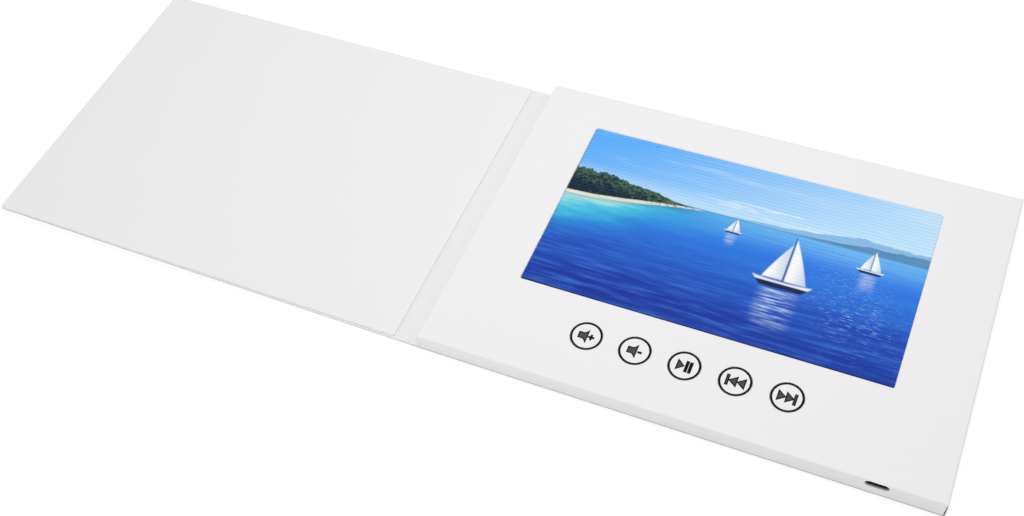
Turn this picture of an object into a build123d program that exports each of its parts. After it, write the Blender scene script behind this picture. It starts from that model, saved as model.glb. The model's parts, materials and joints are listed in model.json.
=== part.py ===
from build123d import *
import os
from math import cos, radians, sin, tan

# LCD video brochure, lying open on a table. Lengths are in millimetres.
# The pieces are built with the origin at the near left bottom corner of the block: X runs along the
# block away from the cover, Y away from the keys and Z up. The last step moves them all to the open
# object's own origin, the bottom centre of its box.

# ---- Card ----
sheet_t = 0.5            # wrap sheet: back panel, spine and cover
face_t = 0.5             # folded tray that makes the block's face and walls
fold_r = 0.9             # outer radius of the tray's folds
tab_w = 8.0              # glue tabs turned in under the tray's walls
corner_slit = 0.5        # open slit between two flaps at each corner of the block
panel_corner_r = 0.5     # corners of the back panel

# ---- Screen window and module ----
window_w = 153.6
window_d = 88.2
window_r = 0.8
lcd_rim = 5.9            # module beyond the window on the left and the right
lcd_rim_near = 9.4
lcd_rim_far = 5.2
lcd_wall = 0.3           # sheet metal of the module's frame
backlight_t = 2.2
diffuser_t = 0.3
glass_t = 1.4
lcd_tape_t = 0.15
tape_setback = 0.8       # adhesive tape kept back from the window

# ---- Bays round the module ----
left_bay = 21.4
right_bay = 22.2
far_bay = 13.5
fit_gap = 0.2            # clearance of loose-laid parts in their pockets

# ---- Keys ----
key_d = 13.1             # moving disc
key_kerf = 0.15
key_pitch = 20.3
key_y = 23.2             # row of keys, from the block's near wall
key_to_lcd = 1.3         # key holes to the module
key_travel = 0.25
key_names = ["volume_up", "volume_down", "play_pause", "previous", "next"]

# ---- Switches under the keys ----
switch_w = 6.2
plate_t = 0.2
plunger_d = 3.5
plunger_gap = 0.3
under_key_gap = 0.35     # left between a pressed key and its switch
dome_d = 3.6
dome_top_d = 1.8
dome_h = 0.25
dome_gap = 0.1           # dome to a pressed key's plunger
cavity_floor = 1.0
key_board_margin = 9.0   # key board beyond the outer keys' centres
key_board_half_d = 7.5
board_t = 1.2
ribbon_gap = 6.0         # between the two boards
ribbon_w = 7.0
ribbon_t = 0.2
socket_w = 8.0
socket_l = 2.5
socket_h = 1.2

# ---- Port ----
usb_w = 8.94
usb_h = 3.26
usb_l = 7.3
usb_wall = 0.3
usb_from_right = 25.1    # port's centre from the block's right wall
usb_top_gap = 0.1
usb_slot_gap = 0.08      # cut-out in the card round the port's shell
usb_set_in = 0.15        # shell behind the wall's inner face
tongue_w = 6.6
tongue_t = 0.7
tongue_l = 4.6
tongue_root_l = 1.8      # plug of plastic that closes the shell's back

# ---- Parts on the main board ----
main_board_w = 48.9
board_clear = 0.4        # board to the block's walls
chip_gap = 3.0           # between the parts of one row
hall_gap = 1.0           # power chip to the sensor
processor_w = 10.0
processor_h = 1.0
memory_w = 6.0
memory_d = 5.0
memory_h = 0.8
power_w = 4.0
power_h = 0.9
inductor_w = 5.0
inductor_h = 2.0
crystal_w = 3.2
crystal_d = 2.5
crystal_h = 0.7
passive_l = 1.6
passive_w = 0.8
passive_h = 0.6
passive_pitch = 2.4
passive_count = 6
hall_from_right = 17.0
hall_w = 2.9
hall_d = 1.6
hall_h = 1.1
lcd_socket_w = 18.0
lcd_socket_d = 4.5
lcd_flex_w = 16.0
lcd_flex_t = 0.3

# ---- Battery ----
battery_w = 95.0
battery_d = 60.0
battery_t = 3.0
battery_edge_r = 1.2
battery_tape_t = 0.15
battery_air = 0.1        # above the cell
battery_x = 22.0         # cell from the module's left edge
battery_y = 22.0         # cell from the module's near edge
circuit_l = 4.0
circuit_w = 20.0
circuit_t = 1.6
lead_d = 1.0
lead_pitch = 1.6
lead_bend_r = 6.0
lead_end_run = 0.2       # straight end of a lead under its pad
lead_h = 1.7             # lead's centre above the back panel
channel_w = 4.4
channel_below_lead = 0.8
pad_inset = 8.0          # battery leads' pads from the main board's left edge
pad_y = 23.0

# ---- Speaker ----
speaker_w = 16.0
speaker_l = 32.0
speaker_h = 3.6
speaker_r = 6.0
speaker_wall = 1.9
speaker_ledge = 0.9
speaker_floor = 0.6
cone_t = 0.3
cone_drop = 0.3
cone_dome_h = 0.3
magnet_cup_h = 1.6
gasket_ring = 1.5
speaker_y = 96.0         # near end of the speaker, from the block's near wall
speaker_lead_d = 0.8
speaker_lead_pitch = 1.4
speaker_lead_in = 6.0    # length of the leads on the board
speaker_channel_w = 6.0

# ---- Cover ----
rest_lift_deg = 1.35     # the creases hold the open cover this far off the table
crease_gap = 0.15        # first crease line to the block's wall
crease_w = 1.0           # width of a scored crease
shut_gap = 0.2           # liner above the face when shut
core_t = 0.5
liner_t = 0.25
thumb_margin = 7.1       # strip of the face that the shut cover leaves bare
cover_corner_r = 2.0
liner_setback = 3.0      # second crease line to the liner
liner_end_margin = 0.9
liner_margin_wide = 0.9  # liner's near margin at the spine, and its far margin at the free end
liner_margin_slim = 0.3
liner_corner_r = 1.0
core_inset = 0.35        # core under the liner's edge
magnet_d = 10.0
magnet_gap = 0.2

# ---- Levels ----
filler_z = sheet_t + battery_tape_t + battery_t + battery_air
glass_z = filler_z + lcd_wall + backlight_t + diffuser_t
tape_z = glass_z + glass_t
face_z = tape_z + lcd_tape_t
block_h = face_z + face_t
usb_z = face_z - usb_top_gap - usb_h
board_top = usb_z
board_z = board_top - board_t
lcd_flex_z = board_top + socket_h / 2
switch_top = face_z - key_travel - under_key_gap
cone_z = filler_z + speaker_h - cone_drop - cone_t
lead_z = sheet_t + lead_h
lead_end_r = board_z - lead_z - lead_end_run

# ---- Plan ----
key_hole_d = key_d + 2 * key_kerf
lcd_x = face_t + left_bay
lcd_y = key_y + key_hole_d / 2 + key_to_lcd
lcd_w = window_w + 2 * lcd_rim
lcd_d = window_d + lcd_rim_near + lcd_rim_far
window_x = lcd_x + lcd_rim
window_y = lcd_y + lcd_rim_near
block_w = lcd_x + lcd_w + right_bay + face_t
block_d = lcd_y + lcd_d + far_bay + face_t
main_board_end = block_w - face_t - board_clear
main_board_x = (main_board_end - main_board_w, main_board_end)
main_board_y = (face_t + board_clear, lcd_y - board_clear)
last_key_x = main_board_x[0] - ribbon_gap - key_board_margin
key_xs = [last_key_x - i * key_pitch for i in reversed(range(len(key_names)))]
key_board_x = (key_xs[0] - key_board_margin, key_xs[-1] + key_board_margin)
usb_x = block_w - usb_from_right
hall_x = block_w - hall_from_right
foam_gap = max(fit_gap, fold_r - face_t)
lcd_socket_x = main_board_x[0] + pad_inset + lcd_socket_w / 2
lcd_socket_far = main_board_y[1] - board_clear
chip_row_y = (face_t + usb_set_in + usb_l + lcd_socket_far - lcd_socket_d) / 2
processor_x = usb_x - memory_w / 2 - chip_gap - processor_w / 2
power_x = usb_x + memory_w / 2 + chip_gap + power_w / 2
inductor_x = power_x + power_w / 2 + chip_gap + inductor_w / 2
crystal_y = chip_row_y + memory_d / 2 + crystal_d
hall_y = chip_row_y + power_w / 2 + hall_gap + hall_d / 2
battery_x0 = lcd_x + battery_x
battery_y0 = lcd_y + battery_y
speaker_x0 = block_w - face_t - (right_bay + speaker_w) / 2
speaker_lead_x = speaker_x0 + speaker_w / 2

# ---- Creases ----
crease_z = sheet_t                     # both crease lines lie on the inner side of the wrap
crease_x1 = -crease_gap
spine_w = block_h + shut_gap + core_t + liner_t - crease_z
crease_x2 = crease_x1 - spine_w
cover_end = crease_x2 - (block_w - thumb_margin - crease_x1)


def block(x, y, z):
    """A box from three (low, high) pairs."""
    size = [high - low for low, high in (x, y, z)]
    return Pos(x[0], y[0], z[0]) * Box(*size, align=(Align.MIN, Align.MIN, Align.MIN))


def centred(x, y, width, depth, z, height):
    """A box centred on (x, y) that stands on level z."""
    return Pos(x, y, z) * Box(width, depth, height, align=(Align.CENTER, Align.CENTER, Align.MIN))


def disc(x, y, diameter, z, height):
    """An upright cylinder centred on (x, y) that stands on level z."""
    return Pos(x, y, z) * Cylinder(diameter / 2, height, align=(Align.CENTER, Align.CENTER, Align.MIN))


def rounded(x, y, width, depth, radius, z, height):
    """A plate with rounded corners centred on (x, y) that stands on level z."""
    return Pos(x, y, z) * extrude(RectangleRounded(width, depth, radius), height)


def group(solids):
    """Separate solids that share one node."""
    return Compound([solid.solid() for solid in solids])


def lift(shape):
    """Turn a flat-built piece of the spine or cover up to its rest angle."""
    return shape.rotate(Axis((crease_x1, 0, crease_z), (0, 1, 0)), rest_lift_deg)


# ---------------------------------------------------------------- wrap and cover
def make_back_panel():
    left = crease_x1 + crease_w / 2
    panel = block((left, block_w), (0, block_d), (0, sheet_t))
    right_corners = panel.edges().filter_by(Axis.Z).group_by(Axis.X)[-1]
    return fillet(right_corners, panel_corner_r)


def make_spine_sheet():
    return lift(block((crease_x2 + crease_w / 2, crease_x1 - crease_w / 2), (0, block_d), (0, sheet_t)))


def make_crease_block():
    """Scored strip between the back panel and the spine, bent by the rest angle along its middle."""
    half = crease_w / 2
    turn = radians(rest_lift_deg)
    bend = sheet_t * tan(turn / 2)

    def turned(along, up):
        x = crease_x1 - along * cos(turn) + up * sin(turn)
        return x, crease_z + along * sin(turn) + up * cos(turn)

    section = Polyline(
        (crease_x1 + half, 0),
        (crease_x1 + half, crease_z),
        (crease_x1, crease_z),
        turned(half, 0),
        turned(half, -sheet_t),
        (crease_x1 - bend, 0),
        close=True,
    )
    face = Plane.XZ * make_face(section)
    return extrude(face, block_d, dir=(0, 1, 0))


def make_crease_cover():
    half = crease_w / 2
    return lift(block((crease_x2 - half, crease_x2 + half), (0, block_d), (0, sheet_t)))


def make_cover_sheet():
    sheet = block((cover_end, crease_x2 - crease_w / 2), (0, block_d), (0, sheet_t))
    free_corners = sheet.edges().filter_by(Axis.Z).group_by(Axis.X)[0]
    return lift(fillet(free_corners, cover_corner_r))


def liner_outline(inset, radius):
    """The liner's plan, a little skew on the cover, drawn in by inset."""
    near_spine = liner_margin_wide + inset
    near_end = liner_margin_slim + inset
    left = cover_end + liner_end_margin + inset
    right = crease_x2 - liner_setback - inset
    outline = Polyline(
        (right, near_spine),
        (right, block_d - near_end),
        (left, block_d - near_spine),
        (left, near_end),
        close=True,
    )
    plan = make_face(outline)
    return fillet(plan.vertices(), radius)


def magnet_centre():
    """The place on the open cover that shuts over the sensor."""
    return crease_x2 - (hall_x - crease_x1), hall_y


def make_cover_core():
    core = Pos(0, 0, sheet_t) * extrude(liner_outline(core_inset, liner_corner_r), core_t)
    core -= disc(*magnet_centre(), magnet_d + 2 * magnet_gap, sheet_t, core_t)
    return lift(core)


def make_cover_magnet():
    return lift(disc(*magnet_centre(), magnet_d, sheet_t, core_t))


def make_cover_liner():
    return lift(Pos(0, 0, sheet_t + core_t) * extrude(liner_outline(0, liner_corner_r), liner_t))


# ---------------------------------------------------------------- block
def port_cut():
    """The obround cut-out in the near wall, round the port's shell."""
    width = usb_w + 2 * usb_slot_gap
    height = usb_h + 2 * usb_slot_gap
    section = Plane.XZ * Pos(usb_x, usb_z + usb_h / 2) * SlotOverall(width, height)
    return extrude(section, 2 * face_t, both=True)


def make_tabs():
    """Four glue tabs with mitred ends, one under each wall."""
    start = face_t + corner_slit
    near = Polyline(
        (start, 0),
        (block_w - start, 0),
        (block_w - start - tab_w, tab_w),
        (start + tab_w, tab_w),
        close=True,
    )
    left = Polyline(
        (0, start),
        (tab_w, start + tab_w),
        (tab_w, block_d - start - tab_w),
        (0, block_d - start),
        close=True,
    )
    tabs = [Pos(0, 0, sheet_t) * extrude(make_face(outline), face_t) for outline in (near, left)]
    across = mirror(tabs[0], Plane.XZ.offset(-block_d / 2))
    along = mirror(tabs[1], Plane.YZ.offset(block_w / 2))
    return tabs + [across, along]


def make_face_tray():
    shell = block((0, block_w), (0, block_d), (sheet_t, block_h))
    shell = fillet(shell.edges().group_by(Axis.Z)[-1], fold_r)
    hollow = block((face_t, block_w - face_t), (face_t, block_d - face_t), (sheet_t, face_z))
    hollow = fillet(hollow.edges().group_by(Axis.Z)[-1], max(fold_r - face_t, face_t / 5))
    tray = shell - hollow
    window_centre = (window_x + window_w / 2, window_y + window_d / 2)
    tray -= rounded(*window_centre, window_w, window_d, window_r, face_z, face_t)
    for x in key_xs:
        tray -= disc(x, key_y, key_hole_d, face_z, face_t)
    tray -= port_cut()
    slit_z = (sheet_t, block_h - fold_r)
    for x in ((face_t, face_t + corner_slit), (block_w - face_t - corner_slit, block_w - face_t)):
        for y in ((0, face_t), (block_d - face_t, block_d)):
            tray -= block(x, y, slit_z)
    for tab in make_tabs():
        tray += tab
    return tray


def inside(gap, z):
    """The block's inside in plan, drawn in by gap, between two levels."""
    return block((face_t + gap, block_w - face_t - gap), (face_t + gap, block_d - face_t - gap), z)


def lead_points(index):
    """Route of one battery lead, from the cell's circuit to a pad under the main board."""
    offset = index * lead_pitch
    x_start = battery_x0 + battery_w + circuit_l
    y_start = battery_y0 + battery_d / 2 + offset
    x_down = main_board_x[0] + pad_inset + offset
    return [
        (x_start, y_start, lead_z),
        (x_down, y_start, lead_z),
        (x_down, pad_y, lead_z),
        (x_down, pad_y, board_z),
    ]


def make_lower_filler():
    """Foam under the module and the boards, with the battery's pocket and the leads' channel."""
    filler = inside(foam_gap, (sheet_t, filler_z))
    tab_z = (sheet_t, sheet_t + face_t)
    core = (
        (face_t + tab_w + fit_gap, block_w - face_t - tab_w - fit_gap),
        (face_t + tab_w + fit_gap, block_d - face_t - tab_w - fit_gap),
    )
    filler -= inside(0, tab_z) - block(*core, tab_z)
    filler -= block(
        (battery_x0 - fit_gap, battery_x0 + battery_w + circuit_l + fit_gap),
        (battery_y0 - fit_gap, battery_y0 + battery_d + fit_gap),
        (sheet_t, filler_z),
    )
    start, corner, end, _ = lead_points(0)
    side = (channel_w - lead_pitch) / 2
    channel_z = (lead_z - channel_below_lead, filler_z)
    channel_x = (corner[0] - side, corner[0] + lead_pitch + side)
    channel_y = (start[1] - side, start[1] + lead_pitch + side)
    filler -= block((start[0], channel_x[1]), channel_y, channel_z)
    filler -= block(channel_x, (end[1] - side, channel_y[1]), channel_z)
    bend = (channel_x[0] - lead_bend_r / 2, channel_y[0] - lead_bend_r / 2)
    filler -= block((bend[0], channel_x[1]), (bend[1], channel_y[1]), channel_z)
    filler -= block((key_board_x[0] - fit_gap, block_w), (0, lcd_y - fit_gap), (board_z, filler_z))
    return filler


def make_upper_filler():
    """Foam frame round the screen module, with the speaker's pocket and its leads' channel."""
    frame = inside(foam_gap, (filler_z, face_z))
    level = (filler_z, face_z)
    frame -= block(
        (lcd_x - fit_gap, lcd_x + lcd_w + fit_gap),
        (lcd_y - fit_gap, lcd_y + lcd_d + fit_gap),
        level,
    )
    frame -= block((key_board_x[0] - fit_gap, block_w), (0, lcd_y), level)
    frame -= block(
        (speaker_x0 - fit_gap, speaker_x0 + speaker_w + fit_gap),
        (speaker_y - fit_gap, speaker_y + speaker_l + fit_gap),
        level,
    )
    half = speaker_channel_w / 2
    frame -= block((speaker_lead_x - half, speaker_lead_x + half), (0, speaker_y), (board_top, face_z))
    return frame


# ---------------------------------------------------------------- screen module
def make_lcd_frame():
    """Metal tray that holds the backlight, the diffuser and the glass, with a notch for the flex."""
    frame = block((lcd_x, lcd_x + lcd_w), (lcd_y, lcd_y + lcd_d), (filler_z, tape_z))
    frame -= lcd_layer(filler_z + lcd_wall, tape_z - filler_z)
    notch = (lcd_flex_w + 2 * fit_gap, 2 * lcd_wall)
    frame -= centred(lcd_socket_x, lcd_y, *notch, lcd_flex_z - fit_gap, lcd_flex_t + 2 * fit_gap)
    return frame


def lcd_layer(z, thickness):
    """One layer of the module, filling its frame from wall to wall."""
    return block(
        (lcd_x + lcd_wall, lcd_x + lcd_w - lcd_wall),
        (lcd_y + lcd_wall, lcd_y + lcd_d - lcd_wall),
        (z, z + thickness),
    )


def make_lcd_tape():
    """Tape ring that holds the glass to the back of the face."""
    ring = block((lcd_x, lcd_x + lcd_w), (lcd_y, lcd_y + lcd_d), (tape_z, face_z))
    ring -= block(
        (window_x - tape_setback, window_x + window_w + tape_setback),
        (window_y - tape_setback, window_y + window_d + tape_setback),
        (tape_z, face_z),
    )
    return ring


def make_lcd_connector():
    return block(
        (lcd_socket_x - lcd_socket_w / 2, lcd_socket_x + lcd_socket_w / 2),
        (lcd_socket_far - lcd_socket_d, lcd_socket_far),
        (board_top, board_top + socket_h),
    )


def make_lcd_flex():
    return block(
        (lcd_socket_x - lcd_flex_w / 2, lcd_socket_x + lcd_flex_w / 2),
        (lcd_socket_far, lcd_y + lcd_wall),
        (lcd_flex_z, lcd_flex_z + lcd_flex_t),
    )


# ---------------------------------------------------------------- boards
def make_main_board():
    return block(main_board_x, main_board_y, (board_z, board_top))


def make_key_board():
    return block(key_board_x, (key_y - key_board_half_d, key_y + key_board_half_d), (board_z, board_top))


def ribbon_ends():
    """The ribbon's two ends, at the facing sides of its sockets."""
    return key_board_x[1] - board_clear, main_board_x[0] + board_clear


def make_ribbon_connectors():
    left, right = ribbon_ends()
    z = (board_top, board_top + socket_h)
    y = (key_y - socket_w / 2, key_y + socket_w / 2)
    return group([block((left - socket_l, left), y, z), block((right, right + socket_l), y, z)])


def make_key_ribbon():
    z = board_top + socket_h / 2
    return block(ribbon_ends(), (key_y - ribbon_w / 2, key_y + ribbon_w / 2), (z, z + ribbon_t))


def make_passives():
    """Small parts in a row along the board's right end."""
    x = main_board_x[1] - passive_l
    y = face_t + usb_l
    return group([
        centred(x, y + i * passive_pitch, passive_l, passive_w, board_top, passive_h)
        for i in range(passive_count)
    ])


# ---------------------------------------------------------------- port
def port_section(inset, near, far):
    """The port's obround section drawn in by inset, along Y from near to far."""
    outline = Pos(usb_x, usb_z + usb_h / 2) * SlotOverall(usb_w - 2 * inset, usb_h - 2 * inset)
    return Pos(0, near, 0) * extrude(Plane.XZ * outline, far - near, dir=(0, 1, 0))


def make_usb_shell():
    near = face_t + usb_set_in
    return port_section(0, near, near + usb_l) - port_section(usb_wall, near, near + usb_l)


def make_usb_tongue():
    far = face_t + usb_set_in + usb_l
    root = port_section(usb_wall, far - tongue_root_l, far)
    middle = usb_z + usb_h / 2
    tongue = block(
        (usb_x - tongue_w / 2, usb_x + tongue_w / 2),
        (far - tongue_root_l - tongue_l, far - tongue_root_l / 2),
        (middle - tongue_t / 2, middle + tongue_t / 2),
    )
    return root + tongue


# ---------------------------------------------------------------- keys and switches
def make_switch_base(x):
    base = centred(x, key_y, switch_w, switch_w, board_top, switch_top - plate_t - board_top)
    well_z = board_top + cavity_floor
    return base - disc(x, key_y, plunger_d + 2 * plunger_gap, well_z, switch_top - well_z)


def make_switch_plate(x):
    plate = centred(x, key_y, switch_w, switch_w, switch_top - plate_t, plate_t)
    return plate - disc(x, key_y, plunger_d + 2 * plunger_gap, switch_top - plate_t, plate_t)


def make_switch_dome(x):
    """Flat-topped spring contact on the floor of its switch, clear of the pressed plunger."""
    dome = Cone(dome_d / 2, dome_top_d / 2, dome_h, align=(Align.CENTER, Align.CENTER, Align.MIN))
    return Pos(x, key_y, board_top + cavity_floor) * dome


def make_plunger(x):
    bottom = board_top + cavity_floor + dome_h + dome_gap + key_travel
    return disc(x, key_y, plunger_d, bottom, face_z - bottom)


def make_key(x):
    return disc(x, key_y, key_d, face_z, face_t)


# ---------------------------------------------------------------- battery
def make_battery_cell():
    cell = block(
        (battery_x0, battery_x0 + battery_w),
        (battery_y0, battery_y0 + battery_d),
        (sheet_t + battery_tape_t, sheet_t + battery_tape_t + battery_t),
    )
    return fillet(cell.edges().filter_by(Axis.X), battery_edge_r)


def make_battery_tape():
    return block(
        (battery_x0 + battery_edge_r, battery_x0 + battery_w - battery_edge_r),
        (battery_y0 + battery_edge_r, battery_y0 + battery_d - battery_edge_r),
        (sheet_t, sheet_t + battery_tape_t),
    )


def make_battery_circuit():
    x = battery_x0 + battery_w + circuit_l / 2
    y = battery_y0 + battery_d / 2
    return centred(x, y, circuit_l, circuit_w, lead_z - circuit_t / 2, circuit_t)


def make_battery_lead(index):
    bend = lead_bend_r + index * lead_pitch
    route = FilletPolyline(*lead_points(index), radius=[bend, lead_end_r])
    section = Plane(origin=route @ 0, z_dir=route % 0) * Circle(lead_d / 2)
    return sweep(section, path=route)


# ---------------------------------------------------------------- speaker
def speaker_plate(inset, z, height):
    """A plate of the speaker's outline, drawn in by inset."""
    return rounded(
        speaker_x0 + speaker_w / 2,
        speaker_y + speaker_l / 2,
        speaker_w - 2 * inset,
        speaker_l - 2 * inset,
        speaker_r - inset,
        z,
        height,
    )


def make_speaker_basket():
    basket = speaker_plate(0, filler_z, speaker_h)
    basket -= speaker_plate(speaker_wall, filler_z + speaker_floor, speaker_h)
    basket -= speaker_plate(speaker_wall - speaker_ledge, cone_z, speaker_h)
    return basket


def make_speaker_magnet():
    return speaker_plate(2 * speaker_wall, filler_z + speaker_floor, magnet_cup_h)


def make_speaker_cone():
    edge = speaker_plate(speaker_wall - speaker_ledge, cone_z, cone_t)
    return edge + speaker_plate(2 * speaker_wall, cone_z + cone_t, cone_dome_h)


def make_speaker_gasket():
    top = filler_z + speaker_h
    return speaker_plate(0, top, face_z - top) - speaker_plate(gasket_ring, top, face_z - top)


def make_speaker_leads():
    """Two straight leads, from the speaker's near end to pads on the main board."""
    z = board_top + speaker_lead_d / 2
    end = main_board_y[1] - speaker_lead_in
    offsets = (-speaker_lead_pitch / 2, speaker_lead_pitch / 2)
    run = Pos(speaker_lead_x, end, z) * Rot(-90, 0, 0) * Cylinder(
        speaker_lead_d / 2, speaker_y - end, align=(Align.CENTER, Align.CENTER, Align.MIN)
    )
    return group([Pos(offset, 0, 0) * run for offset in offsets])


# ---------------------------------------------------------------- assembly
nodes = {
    "back_panel": make_back_panel(),
    "face_tray": make_face_tray(),
    "lower_filler": make_lower_filler(),
    "upper_filler": make_upper_filler(),
    "crease_block": make_crease_block(),
    "spine_sheet": make_spine_sheet(),
    "crease_cover": make_crease_cover(),
    "cover_sheet": make_cover_sheet(),
    "cover_core": make_cover_core(),
    "cover_magnet": make_cover_magnet(),
    "cover_liner": make_cover_liner(),
    "lcd_frame": make_lcd_frame(),
    "lcd_backlight": lcd_layer(filler_z + lcd_wall, backlight_t),
    "lcd_diffuser": lcd_layer(glass_z - diffuser_t, diffuser_t),
    "lcd_panel": lcd_layer(glass_z, glass_t),
    "lcd_tape": make_lcd_tape(),
    "lcd_flex": make_lcd_flex(),
    "lcd_connector": make_lcd_connector(),
    "main_board": make_main_board(),
    "key_board": make_key_board(),
    "key_ribbon": make_key_ribbon(),
    "ribbon_connectors": make_ribbon_connectors(),
    "processor_chip": centred(processor_x, chip_row_y, processor_w, processor_w, board_top, processor_h),
    "memory_chip": centred(usb_x, chip_row_y, memory_w, memory_d, board_top, memory_h),
    "power_chip": centred(power_x, chip_row_y, power_w, power_w, board_top, power_h),
    "inductor": centred(inductor_x, chip_row_y, inductor_w, inductor_w, board_top, inductor_h),
    "crystal": centred(usb_x, crystal_y, crystal_w, crystal_d, board_top, crystal_h),
    "passives": make_passives(),
    "hall_sensor": centred(hall_x, hall_y, hall_w, hall_d, board_top, hall_h),
    "usb_shell": make_usb_shell(),
    "usb_tongue": make_usb_tongue(),
    "switch_bases": group([make_switch_base(x) for x in key_xs]),
    "switch_plates": group([make_switch_plate(x) for x in key_xs]),
    "switch_domes": group([make_switch_dome(x) for x in key_xs]),
    "battery_cell": make_battery_cell(),
    "battery_tape": make_battery_tape(),
    "battery_circuit": make_battery_circuit(),
    "battery_lead_black": make_battery_lead(0),
    "battery_lead_red": make_battery_lead(1),
    "speaker_basket": make_speaker_basket(),
    "speaker_magnet": make_speaker_magnet(),
    "speaker_cone": make_speaker_cone(),
    "speaker_gasket": make_speaker_gasket(),
    "speaker_leads": make_speaker_leads(),
}
for name, x in zip(key_names, key_xs):
    nodes[f"key_{name}"] = make_key(x)
    nodes[f"plunger_{name}"] = make_plunger(x)

left_end = nodes["cover_sheet"].bounding_box().min.X
to_origin = Pos(-(left_end + block_w) / 2, -block_d / 2, 0)

os.makedirs("parts", exist_ok=True)
for name, shape in nodes.items():
    export_step(to_origin * shape, f"parts/{name}.step")
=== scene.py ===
import json
from math import cos, pi, radians, sin

import bmesh
import bpy
from mathutils import Matrix, Vector, noise


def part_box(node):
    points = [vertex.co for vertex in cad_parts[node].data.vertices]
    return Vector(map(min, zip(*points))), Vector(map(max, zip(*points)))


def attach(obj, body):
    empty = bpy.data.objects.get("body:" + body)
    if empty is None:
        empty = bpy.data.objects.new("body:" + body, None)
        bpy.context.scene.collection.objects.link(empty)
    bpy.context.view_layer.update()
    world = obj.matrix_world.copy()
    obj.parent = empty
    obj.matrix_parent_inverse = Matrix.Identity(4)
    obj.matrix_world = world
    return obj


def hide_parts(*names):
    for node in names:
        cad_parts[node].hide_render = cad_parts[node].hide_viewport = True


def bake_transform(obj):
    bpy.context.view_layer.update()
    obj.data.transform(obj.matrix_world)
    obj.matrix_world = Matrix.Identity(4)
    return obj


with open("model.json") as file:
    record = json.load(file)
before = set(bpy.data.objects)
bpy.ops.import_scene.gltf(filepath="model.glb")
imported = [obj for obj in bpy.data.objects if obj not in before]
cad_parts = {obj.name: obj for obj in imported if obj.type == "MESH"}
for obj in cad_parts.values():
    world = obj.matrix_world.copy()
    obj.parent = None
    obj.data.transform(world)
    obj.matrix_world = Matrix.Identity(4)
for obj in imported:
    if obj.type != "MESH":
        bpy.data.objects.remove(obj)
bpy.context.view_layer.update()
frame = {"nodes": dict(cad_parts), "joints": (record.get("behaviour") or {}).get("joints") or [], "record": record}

# An open LCD video brochure: a creased cover beside a slim card block with a screen, five round
# press keys and a charging port. Lengths are in metres, in the frame's own axes.
MM = 0.001

# ------------------------------------------------------------------ places and sizes that several pieces share
BLOCK_LOW, BLOCK_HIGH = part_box("face_tray")
PANEL_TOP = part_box("lcd_panel")[1].z
COVER_LOW, COVER_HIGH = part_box("cover_sheet")
LCD_LOW, LCD_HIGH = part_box("lcd_frame")
WINDOW_SIDE, WINDOW_NEAR, WINDOW_FAR = 5.9 * MM, 9.4 * MM, 5.2 * MM    # from the LCD's frame to the window
WINDOW_X = (LCD_LOW.x + WINDOW_SIDE, LCD_HIGH.x - WINDOW_SIDE)
WINDOW_Y = (LCD_LOW.y + WINDOW_NEAR, LCD_HIGH.y - WINDOW_FAR)
JOINTS = {joint["name"]: joint for joint in frame["joints"]}
CREASE_HALF = 0.5 * MM    # half a crease's width
CARD = 0.5 * MM           # thickness of the block's card and of the wrap


# ------------------------------------------------------------------ camera
CAMERA_PLACE = Vector((0.18142, -0.29652, 0.42212))
CAMERA_TARGET = Vector((0.02662, -0.01673, 0.0))
CAMERA_ROLL = radians(-7.65)
FRAME_PX = (1024, 516)
FOCAL_PX = 1247.9
AXIS_PX = 532.1          # column where the optical axis meets the picture
SENSOR_MM = 36.0


def make_camera():
    """The photograph's view: its place, aim, roll and focal length come from a fit of the block's edges."""
    data = bpy.data.cameras.new("camera")
    data.sensor_width = SENSOR_MM
    data.lens = SENSOR_MM * FOCAL_PX / FRAME_PX[0]
    data.shift_x = (FRAME_PX[0] / 2 - AXIS_PX) / FRAME_PX[0]
    data.clip_start = 0.01
    camera = bpy.data.objects.new("camera", data)
    bpy.context.scene.collection.objects.link(camera)
    aim = (CAMERA_TARGET - CAMERA_PLACE).to_track_quat("-Z", "Y").to_matrix().to_4x4()
    camera.matrix_world = Matrix.Translation(CAMERA_PLACE) @ aim @ Matrix.Rotation(CAMERA_ROLL, 4, "Z")
    bpy.context.scene.camera = camera


# ------------------------------------------------------------------ node helpers
def srgb(red, green, blue):
    """Display colour, 0 to 255 a channel, as the linear colour that a shader takes."""
    def linear(value):
        value /= 255
        return value / 12.92 if value <= 0.04045 else ((value + 0.055) / 1.055) ** 2.4
    return (linear(red), linear(green), linear(blue), 1.0)


def feed(tree, slot, value):
    """Link a Value to an input, or write a plain number, vector or colour into it."""
    if isinstance(value, Value):
        tree.links.new(value.socket, slot)
    else:
        slot.default_value = value


class Value:
    """A number, vector or colour in a node tree. Arithmetic on numbers adds the math nodes."""

    def __init__(self, tree, socket):
        self.tree = tree
        self.socket = socket

    def math(self, operation, *others):
        node = self.tree.nodes.new("ShaderNodeMath")
        node.operation = operation
        for slot, value in zip(node.inputs, (self, *others)):
            feed(self.tree, slot, value)
        return Value(self.tree, node.outputs[0])

    def __add__(self, other):
        return self.math("ADD", other)

    def __sub__(self, other):
        return self.math("SUBTRACT", other)

    def __mul__(self, other):
        return self.math("MULTIPLY", other)

    def __rsub__(self, other):
        return self * -1 + other


def smooth(value, low, high):
    """0 at low and 1 at high, with soft ends. low may be the larger one."""
    node = value.tree.nodes.new("ShaderNodeMapRange")
    node.interpolation_type = "SMOOTHSTEP"
    feed(value.tree, node.inputs["Value"], value)
    node.inputs["From Min"].default_value = low
    node.inputs["From Max"].default_value = high
    return Value(value.tree, node.outputs["Result"])


MIX_COLOUR_A, MIX_COLOUR_B, MIX_COLOUR_OUT = 6, 7, 2    # a mix node's sockets share their names


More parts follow.
